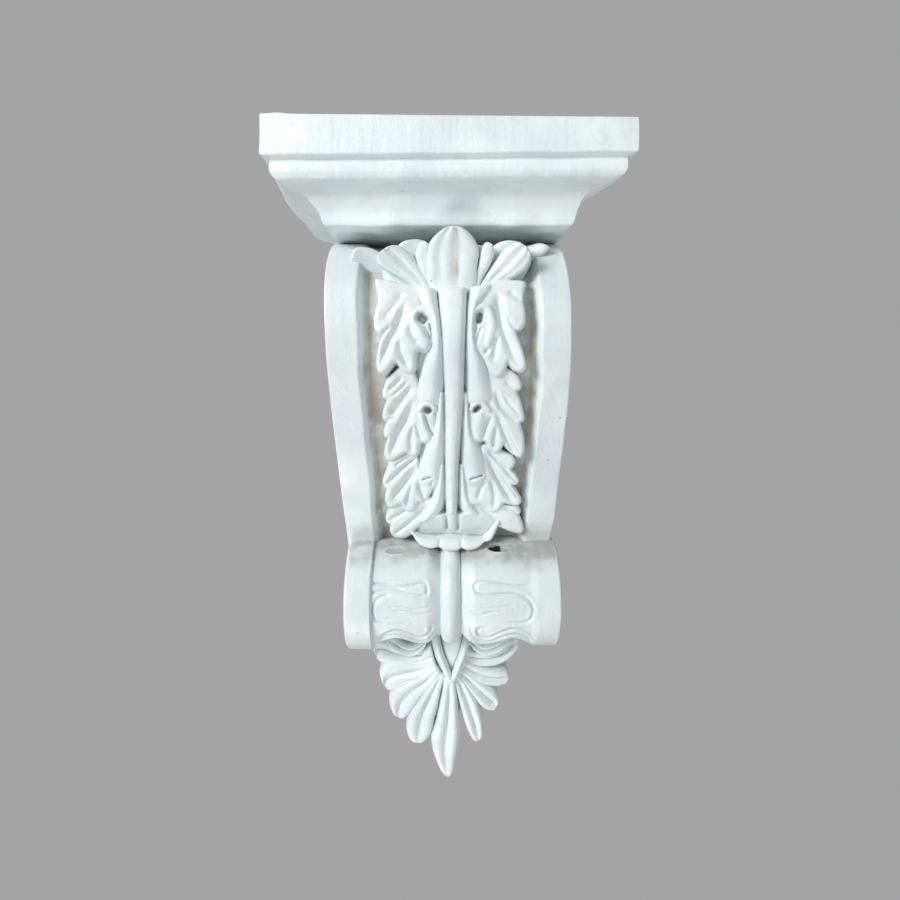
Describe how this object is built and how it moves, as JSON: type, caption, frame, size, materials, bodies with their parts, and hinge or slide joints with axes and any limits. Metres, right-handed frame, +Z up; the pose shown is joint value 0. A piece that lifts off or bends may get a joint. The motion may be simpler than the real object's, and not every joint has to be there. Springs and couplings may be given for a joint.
{
  "type": "corbel",
  "caption": "Wall corbel with a moulded shelf block, strapped scroll body, acanthus leaf, tied roll and palmette drop; carries a shelf, beam or mantel end.",
  "frame": {"origin": "on the flat back, at its middle across and half way up the whole height", "axes": "+Y into the wall, -Y out of the wall towards the viewer, +Z up, +X to the viewer's right"},
  "size_m": [0.28, 0.185, 0.594],
  "materials": {
    "plaster": "off-white cast plaster, brushed with white paint, low sheen"
  },
  "bodies": {
    "root": {"corbel": "plaster"}
  },
  "joints": []
}
